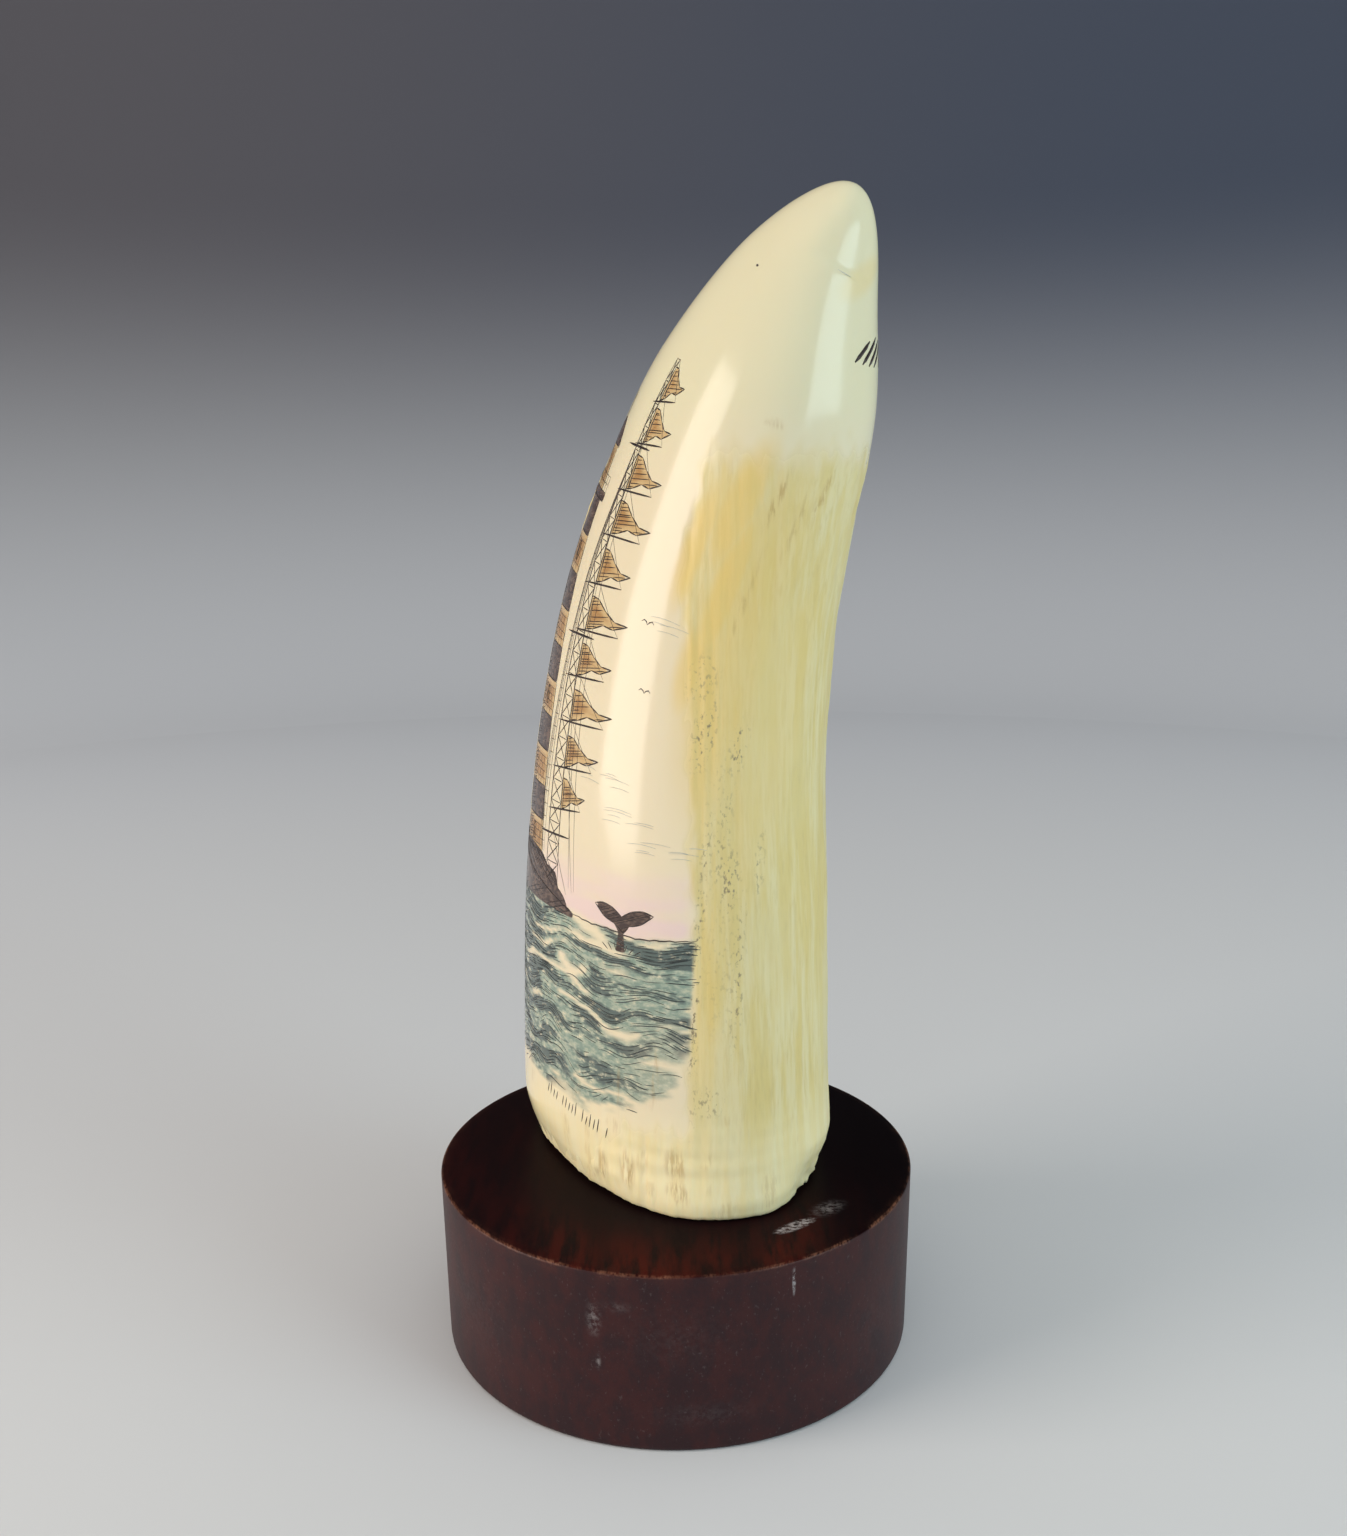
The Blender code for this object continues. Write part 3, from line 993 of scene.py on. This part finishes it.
def hatch(strokes, draw, corners, spacing, slope, width, keep=0.9):
    """Fill a shape with short slanted strokes."""
    low_x = min(x for x, y in corners)
    high_x = max(x for x, y in corners)
    low_y = min(y for x, y in corners)
    high_y = max(y for x, y in corners)
    reach = abs(slope) * (high_x - low_x)
    for level in np.arange(low_y - reach, high_y + reach, spacing):
        x = np.arange(low_x, high_x, 0.25)
        y = level + slope * (x - low_x) + draw.normal(0.0, 0.1)
        inside = inside_shape(x, y, corners) > 0.12
        for start in np.flatnonzero(inside & ~np.roll(inside, 1)):
            end = start
            limit = start + draw.integers(8, 40)
            while end + 1 < len(x) and inside[end + 1] and end < limit:
                end += 1
            if end - start > 2 and draw.uniform() < keep:
                strokes.append((np.column_stack([x[start:end + 1], y[start:end + 1]]), width))


def swell_strokes(strokes, draw):
    """Strokes that follow the swell, crowded in the troughs and left out of the foam."""
    for depth in np.arange(0.5, SEA_DEPTH, 0.42):
        across = -SEA_HALF_WIDTH + draw.uniform(-2.0, 1.5)
        while across < SEA_HALF_WIDTH:
            length = draw.uniform(1.6, 6.0)
            x = np.arange(across, across + length, 0.5)
            level = HORIZON - depth + draw.normal(0.0, 0.10) + 0.02 * draw.normal() * (x - across)
            y = level + swell_lift(x, level)
            trough, foam = sea_tone(x, y)
            top, side, foot = sea_edge(x, y)
            inside = (top > 0.2) & (side > draw.uniform(-0.8, 0.8))
            inside &= (foot > draw.uniform(-0.6, 1.4)) & (foam < 0.55)
            dark = float(trough.mean())
            fading = min(max((depth - 9.0) / 12.0, 0.0), 1.0)
            often = (0.25 + 0.95 * dark) * (1.0 - 0.35 * fading)
            if inside.sum() > 2 and draw.uniform() < often:
                strokes.append((np.column_stack([x, y])[inside], 0.09 + 0.10 * dark))
            across += length + draw.uniform(0.1, 0.9)


def crest_strokes(strokes, draw):
    """Longer strokes along the crests."""
    for row in np.arange(1.0, 9.0):
        level = SWELL_GAP / SWELL_GROWTH * math.expm1(SWELL_GROWTH * row)
        if level > SEA_DEPTH:
            break
        across = -SEA_HALF_WIDTH + draw.uniform(0.0, 4.0)
        while across < SEA_HALF_WIDTH - 2.0:
            length = draw.uniform(3.0, 9.0)
            x = np.arange(across, min(across + length, SEA_HALF_WIDTH), 0.5)
            y = HORIZON - level + swell_lift(x, np.full_like(x, HORIZON - level))
            if len(x) > 3 and sea_edge(x, y)[2].min() > 0.0:
                strokes.append((np.column_stack([x, y]), 0.15))
            across += length + draw.uniform(1.0, 5.0)


def draw_shore(strokes, draw):
    """The sea's upper edge, the outlines of all that is built, and the hatched headland."""
    x = np.arange(-SEA_HALF_WIDTH, SEA_HALF_WIDTH, 0.5)
    edge = np.column_stack([x, skyline(x) + 0.10 * np.sin(2.9 * x)])
    strokes.append((edge[x > SHORE_END], 0.20))
    for shape in (*tower_bands(), LANTERN, GALLERY, DOME, COTTAGE, COTTAGE_ROOF, CHIMNEY):
        outline(strokes, shape, 0.20)
    outline(strokes, HEADLAND[1:-1], 0.22)
    hatch(strokes, draw, HEADLAND, 0.55, -0.5, 0.16, 0.95)
    hatch(strokes, draw, HEADLAND, 0.8, 0.35, 0.13, 0.7)


def shaded_side(band):
    """The left part of a band of the tower, which lies in the shade."""
    corners = []
    for x, y in band:
        if x < TOWER_X:
            corners.append((TOWER_X + (x - TOWER_X) * 0.98, y))
        else:
            corners.append((x - 4.6, y))
    return corners


def draw_tower(strokes, draw):
    """The lighthouse: its shaded side, courses of bricks, windows, gallery and lantern."""
    for band in tower_bands():
        hatch(strokes, draw, shaded_side(band), 0.45, 0.18, 0.12, 0.95)
    for band in tower_bands()[0::2]:
        for course in np.arange(1.0, 5.0, 1.0):
            up = band[0][1] + course
            half = tower_half(up)
            level_line(strokes, TOWER_X - half, TOWER_X + half, up, 0.10)
            for joint in np.arange(-half + 0.4 + 0.7 * (course % 2.0), half, 1.5):
                upright(strokes, TOWER_X + joint, up - 1.0, up, 0.09)
    for sill in TOWER_SILLS:
        window = box_shape(TOWER_X - 0.6, TOWER_X + 0.7, sill, sill + 2.4)
        outline(strokes, window, 0.22)
        upright(strokes, TOWER_X, sill, sill + 2.4, 0.35)
    for post in np.linspace(-3.9, 3.9, 9):
        upright(strokes, TOWER_X + post, 101.2, 103.4, 0.13)
    for rail in (102.3, 103.4):
        level_line(strokes, TOWER_X - 4.0, TOWER_X + 4.0, rail, 0.14)
    for bar in (-0.9, 0.0, 0.9):
        upright(strokes, TOWER_X + bar, 101.4, 107.0, 0.14)
    upright(strokes, TOWER_X, 110.6, 114.5, 0.25)


def draw_mast(strokes):
    """The lattice mast with its yards, its stays and the rope ladder on its left."""
    low, high = MAST_FOOT[1], MAST_TOP[1]
    for side in (-1.0, 1.0):
        line(strokes, (mast_at(low, side), low), (mast_at(high, side), high), 0.30)
    for low in np.arange(MAST_FOOT[1], MAST_TOP[1] - 3.0, MAST_STEP):
        high = low + MAST_STEP
        line(strokes, (mast_at(low, -1.0), low), (mast_at(high, 1.0), high), 0.19)
        line(strokes, (mast_at(low, 1.0), low), (mast_at(high, -1.0), high), 0.19)
        level_line(strokes, mast_at(high, -1.0), mast_at(high, 1.0), high, 0.14)
    for up, half in YARDS:
        line(strokes, (mast_at(up) - half, up - 0.3), (mast_at(up) + half, up + 0.3), 0.36)
    for up, foot_across, foot_up in STAYS:
        line(strokes, (mast_at(up), up), (foot_across, foot_up), 0.11)
    head = mast_at(LADDER_HIGH, -1.0)
    for foot in LADDER_FEET:
        line(strokes, (head, LADDER_HIGH), (foot, LADDER_LOW), 0.13)
    for up in np.arange(52.0, 107.0, 1.9):
        share = (up - LADDER_LOW) / (LADDER_HIGH - LADDER_LOW)
        left, right = [foot + (head - foot) * share for foot in (LADDER_FEET[0], LADDER_FEET[-1])]
        line(strokes, (left, up), (right, up + 0.1), 0.11)


def draw_pennants(strokes, draw):
    """The pennants, each with a spar at its foot and a rope to its tip."""
    for up, reach in PENNANTS:
        flag = pennant(up, reach)
        outline(strokes, flag, 0.22)
        hatch(strokes, draw, flag, 0.45, 0.25, 0.14, 0.9)
        left = flag[0][0]
        tip = (left + 0.85 * reach, up - 1.5)
        line(strokes, (mast_at(up, -1.0) - 0.8, up - 2.9), tip, 0.28)
        high = min(up + 5.2, MAST_TOP[1])
        line(strokes, tip, (mast_at(high, 1.0), high), 0.09)
        upright(strokes, left + 0.5, up + 1.9, up - 2.0, 0.26)


def draw_cottage(strokes, draw):
    """The cottage's windows, door and roof."""
    for left in (-23.4, -20.6):
        outline(strokes, box_shape(left, left + 0.9, 51.8, 53.2), 0.18)
    for x in np.arange(-18.2, -15.9, 0.55):
        upright(strokes, x, 50.6, 52.0, 0.14)
    hatch(strokes, draw, COTTAGE_ROOF, 0.45, 0.12, 0.10)


def draw_fluke(strokes, draw):
    """The whale's fluke, and the water that it throws up."""
    outline(strokes, FLUKE[2:-1], 0.20)
    hatch(strokes, draw, FLUKE, 0.45, 0.4, 0.12)
    for x in np.linspace(-2.4, 2.4, 7):
        high = (14.2 + 1.5 * x, 41.5 - 0.3 * abs(x))
        line(strokes, (14.2 + x, 40.2 - 0.1 * abs(x)), high, 0.15)


def draw_gulls(strokes):
    for x, up, wing in GULLS:
        turn = np.linspace(0.0, 1.0, 7)
        rise = np.sin(math.pi * turn) * 0.45 * wing
        for side in (-1.0, 1.0):
            path = np.column_stack([x + side * wing * turn, up + rise + 0.25 * wing * turn])
            strokes.append((path, 0.17))


def draw_clouds(strokes, draw):
    """Faint broken lines of distant clouds."""
    for start, end, up in CLOUDS:
        for row in range(4):
            x = start + draw.uniform(0.0, 2.5)
            while x < end:
                reach = draw.uniform(2.0, 5.5)
                turn = np.linspace(0.0, 1.0, 5)
                level = up - 0.55 * row + draw.normal(0.0, 0.2)
                rise = 0.05 * reach * np.sin(math.pi * turn)
                strokes.append((np.column_stack([x + reach * turn, level + rise]), 0.08))
                x += reach + draw.uniform(0.8, 3.0)


def mark_row(strokes, draw, start, end, tall, step, width):
    """A row of plain short strokes in the place of lettering, every sixth of them left out."""
    count = int((end[0] - start[0]) / step)
    for index in range(count):
        if index % 6 == 4:
            continue
        share = index / count
        x = start[0] + (end[0] - start[0]) * share
        low = start[1] + (end[1] - start[1]) * share
        high = low + tall * draw.uniform(0.6, 1.0)
        line(strokes, (x, low), (x + 0.22 * tall, high), width)


# Inks: name, colour where dense, colour where worn
SEA_INK = ("sea_ink", (0.040, 0.048, 0.047), (0.085, 0.105, 0.100))
DARK_INK = ("dark_ink", (0.022, 0.015, 0.015), (0.070, 0.048, 0.040))
MARK_INK = ("mark_ink", *DARK_INK[1:])
CLOUD_INK = ("cloud_ink", (0.48, 0.49, 0.45), (0.66, 0.62, 0.50))


def finish_ink(name, dense, worn):
    """Ink that is denser in some places than in others."""
    finish = Finish(name)
    patchy = finish.step(finish.noise(1.1 * MM), 0.35, 0.72)
    finish.put("Base Color", finish.mix(patchy, dense, worn))
    finish.put("Roughness", 0.32)
    finish.put("IOR", 1.5)
    return finish.material


# Strokes: distance of their points in mm, share of their roundness kept, height above the skin
STROKE_STEP = 0.8
STROKE_FLATNESS = 0.22
STROKE_LIFT = 0.012 * MM


def ink_tubes(name, strokes, paths, points):
    """Thin round tubes with tapered ends, one along each stroke."""
    curve = bpy.data.curves.new(name, "CURVE")
    curve.dimensions = "3D"
    curve.bevel_depth = 1.0
    curve.bevel_resolution = 0
    curve.use_fill_caps = True
    start = 0
    for path, (_, width) in zip(paths, strokes):
        end = start + len(path)
        along = np.linspace(0.0, 1.0, len(path))
        taper = 0.35 + 0.65 * np.clip(5.0 * np.minimum(along, 1.0 - along), 0.0, 1.0)
        spline = curve.splines.new("POLY")
        spline.points.add(len(path) - 1)
        places = np.column_stack([points[start:end], np.ones(len(path))])
        spline.points.foreach_set("co", places.astype(np.float32).ravel())
        spline.points.foreach_set("radius", (0.5 * width * MM * taper).astype(np.float32))
        start = end
    model = link_object(name, curve)
    seen = model.evaluated_get(bpy.context.evaluated_depsgraph_get())
    mesh = bpy.data.meshes.new_from_object(seen)
    bpy.data.objects.remove(model)
    return mesh


def press_flat(mesh, points, normals):
    """Press the tubes flat against the skin, towards the nearest point of their strokes."""
    tree = kdtree.KDTree(len(points))
    for index, point in enumerate(points):
        tree.insert(point, index)
    tree.balance()
    bm = bmesh.new()
    bm.from_mesh(mesh)
    bmesh.ops.remove_doubles(bm, verts=bm.verts, dist=0.0005 * MM)
    for vert in bm.verts:
        centre, index, _ = tree.find(vert.co)
        normal = Vector(normals[index])
        vert.co -= normal * ((vert.co - centre).dot(normal) * (1.0 - STROKE_FLATNESS))
    bmesh.ops.recalc_face_normals(bm, faces=bm.faces)
    bm.to_mesh(mesh)
    bm.free()


def engrave(name, strokes, ink, face_map):
    """Lay strokes on the skin as thin inked lines."""
    paths = [resample(path, STROKE_STEP) for path, width in strokes]
    flat = np.concatenate(paths)
    share = flat[:, 1] * MM / TOOTH_LENGTH
    angle = face_map.angle_of(share, flat[:, 0] * MM)
    points, normals = tooth_skin(share, angle, face_map)[:2]
    points = points + normals * STROKE_LIFT
    mesh = ink_tubes(name, strokes, paths, points)
    press_flat(mesh, points, normals)
    mesh.name = name
    mesh.materials.clear()
    mesh.materials.append(finish_ink(*ink))
    piece = link_object(name, mesh)
    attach(piece, "root")
    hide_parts("whale_tooth")


def engrave_picture(face_map):
    """Draw and engrave the sea, the dark motifs, the clouds and the rows of marks."""
    draw = np.random.default_rng(7)
    sea = []
    swell_strokes(sea, draw)
    crest_strokes(sea, draw)
    engrave("engraving_sea", sea, SEA_INK, face_map)
    dark = []
    draw_shore(dark, draw)
    draw_tower(dark, draw)
    draw_mast(dark)
    draw_pennants(dark, draw)
    draw_cottage(dark, draw)
    draw_fluke(dark, draw)
    draw_gulls(dark)
    engrave("engraving_dark", dark, DARK_INK, face_map)
    clouds = []
    draw_clouds(clouds, draw)
    clouds.append((TIP_CREASE, 0.11))
    engrave("engraving_clouds", clouds, CLOUD_INK, face_map)
    marks = []
    mark_row(marks, draw, (-4.4, 12.0), (12.4, 9.6), 2.4, 0.90, 0.20)
    level_line(marks, *TIP_PIT, 0.40)
    mark_row(marks, draw, (23.4, 128.6), (47.0, 127.8), 4.2, 1.6, 0.60)
    engrave("engraving_marks", marks, MARK_INK, face_map)


WOOD_SIDE = (0.027, 0.0105, 0.0125)
WOOD_SIDE_RED = (0.042, 0.0115, 0.0120)
WOOD_TOP = (0.0085, 0.0036, 0.0041)
# Painted shade for the right of the top, then the grain's red figure, which the top shows as painted
# sheen
WOOD_PAINTED_SHADE = (0.0022, 0.0014, 0.0016)
WOOD_RED_AND_SHEEN = (0.052, 0.0065, 0.0045)
WOOD_WEAR = (0.19, 0.082, 0.050)
# Pale dust and scuffs, also the colour of painted sheen on the side
DUST_AND_SHEEN = (0.30, 0.27, 0.27)
SIDE_SHINE = 0.22
TOP_SHINE = 0.02
# Pale scuffs and dust on the wood, and two broad pale patches of painted sheen on the left and right
# of the side: middle and half sizes in mm, turn in degrees, strength
SCUFFS_AND_SHEEN = (
    ((17.4, -24.6, 27.8), (4.4, 1.3, 1.0), 34.0, 2.0),
    ((22.8, -19.5, 27.8), (4.4, 2.4, 1.0), 40.0, 0.45),
    ((-11.9, -36.2, 20.2), (1.6, 2.0, 3.8), 0.0, 0.46),
    ((-11.3, -36.3, 13.6), (0.6, 2.0, 1.7), 0.0, 0.5),
    ((-8.6, -37.0, 22.6), (3.6, 2.0, 1.4), 0.0, 0.22),
    ((0.0, -38.0, 18.0), (16.0, 5.0, 8.0), 0.0, 0.10),
    ((4.0, -38.0, 6.0), (14.0, 5.0, 3.0), 0.0, 0.14),
    # Painted sheen: two broad pale patches on the left and the right of the side
    ((-32.0, -20.0, 14.0), (20.0, 18.0, 14.0), 0.0, 0.12),
    ((30.0, -23.0, 12.0), (12.0, 12.0, 12.0), 0.0, 0.10),
    ((16.5, -34.4, 24.6), (0.35, 1.5, 2.8), 0.0, 1.2),
)


def finish_wood(name, shine):
    """Dark stained wood: plain and dusty on the side, streaked with red on top. Broad pale patches on
    the left and right of the side are painted sheen, the red shows towards the front and left of the
    top as painted sheen, and the top darkens towards the right as painted shade.
    """
    finish = Finish(name)
    grain_lines = finish.noise(1.9 * MM, 5.0, (1.0, 0.17, 0.35), 0.6)
    figure = finish.noise(9.0 * MM, 3.0, (1.0, 0.25, 0.6), bend=0.6)
    pores = finish.noise(0.35 * MM, 2.0, (1.0, 0.35, 1.0))
    mottle = finish.noise(3.0 * MM, 4.0, (1.0, 1.0, 0.6), 0.65)
    side = finish.mix(finish.step(mottle, 0.36, 0.64), WOOD_SIDE, WOOD_SIDE_RED)
    motes = finish.step(finish.noise(0.5 * MM, 3.0, (1.0, 1.0, 0.8), 0.6), 0.62, 0.72)
    side = finish.mix(finish.times(motes, 0.09), side, DUST_AND_SHEEN)
    top_face = finish.attribute("top_face")
    # Painted sheen: the red figure of the grain shows towards the front and left of the top
    glow = finish.times(finish.step(figure, 0.25, 0.60), finish.step(grain_lines, 0.32, 0.60))
    top = finish.mix(finish.times(glow, finish.attribute("front")), WOOD_TOP, WOOD_RED_AND_SHEEN)
    # Painted shade: the top grows darker towards the right
    right = finish.node("SeparateXYZ", {0: finish.place})[0]
    shade = finish.step(right, 12.0 * MM, 32.0 * MM)
    top = finish.mix(finish.times(shade, 0.7), top, WOOD_PAINTED_SHADE)
    colour = finish.mix(top_face, side, top)
    worn = finish.times(finish.attribute("rim"), finish.step(pores, 0.25, 0.70))
    worn = finish.times(worn, finish.step(finish.noise(5.0 * MM, 2.0), 0.30, 0.62))
    colour = finish.mix(worn, colour, WOOD_WEAR)
    specks = finish.step(finish.noise(0.7 * MM, 4.0, (0.8, 1.4, 1.0), 0.75), 0.40, 0.62)
    # Scuffs and dust, and painted sheen on the left and right of the side, broken up by specks
    for centre, sizes, turn, strength in SCUFFS_AND_SHEEN:
        scuff_and_sheen = finish.step(finish.times(finish.patch(centre, sizes, turn), strength), 0.0, 0.8)
        colour = finish.mix(finish.times(scuff_and_sheen, specks), colour, DUST_AND_SHEEN)
    finish.put("Base Color", colour)
    rough = finish.math("MULTIPLY_ADD", top_face, -0.12, 0.42)
    rough = finish.math("MULTIPLY_ADD", pores, 0.10, rough)
    finish.put("Roughness", rough)
    finish.put("Specular IOR Level", shine)
    finish.bump(finish.math("ADD", pores, grain_lines), 0.12, 0.05 * MM)
    return finish.material


def corner_arc(centre_x, centre_z, radius, start):
    """A quarter of a circle in the base's profile."""
    points = []
    for step in range(BASE_ROUND_STEPS + 1):
        angle = start - 0.5 * math.pi * step / BASE_ROUND_STEPS
        points.append((centre_x + radius * math.cos(angle), centre_z + radius * math.sin(angle)))
    return points


def turn_base():
    """Turn the base on a lathe, with soft wear on its upper edge."""
    foot = BASE_RADIUS - BASE_TAPER
    profile = [(share * BASE_RADIUS, BASE_TOP) for share in TOP_RINGS]
    edge = BASE_RADIUS - BASE_TOP_ROUND
    profile += corner_arc(edge, BASE_TOP - BASE_TOP_ROUND, BASE_TOP_ROUND, 0.5 * math.pi)
    for share in SIDE_RINGS:
        profile.append((foot + (BASE_RADIUS - foot) * share, BASE_TOP * share))
    profile += corner_arc(foot - BASE_FOOT_ROUND, BASE_FOOT_ROUND, BASE_FOOT_ROUND, 0.0)
    profile.append((0.0, 0.0))
    mesh = spin_profile("turned_base", profile, BASE_SIDES)
    mesh.set_sharp_from_angle(angle=math.radians(50.0))
    places = np.zeros(len(mesh.vertices) * 3, dtype=np.float32)
    mesh.vertices.foreach_get("co", places)
    x, y, z = places.reshape(-1, 3).astype(float).T
    radius = np.hypot(x, y)
    near_rim = np.hypot(radius - BASE_RADIUS, z - BASE_TOP)
    write_floats(mesh, "rim", 1.0 - soft_step(near_rim, 0.15 * MM, 0.58 * MM))
    write_floats(mesh, "top_face", soft_step(z, BASE_TOP - 0.4 * MM, BASE_TOP - 0.1 * MM))
    x, y, radius = x / BASE_RADIUS, y / BASE_RADIUS, radius / BASE_RADIUS
    # Where the red figure shows on the top as painted sheen: towards the front, and weaker on the left
    front = soft_step(radius, 0.60, 0.95) * soft_step(-y, -0.1, 0.6)
    front *= 1.0 - 0.85 * soft_step(np.abs(x), 0.50, 0.80)
    front = np.maximum(front, 0.22 * soft_step(-x, 0.30, 0.90))
    write_floats(mesh, "front", front)
    mesh.materials.append(finish_wood("dark_wood_side", SIDE_SHINE))
    mesh.materials.append(finish_wood("dark_wood_top", TOP_SHINE))
    for face in mesh.polygons:
        face.material_index = int(face.center.z > BASE_TOP - 0.25 * MM)
    base = link_object("turned_base", mesh)
    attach(base, "root")
    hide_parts("round_base")


place_camera()
lay_stage()
hang_lights()
face_map = FaceMap()
carve_tooth(face_map)
engrave_picture(face_map)
turn_base()
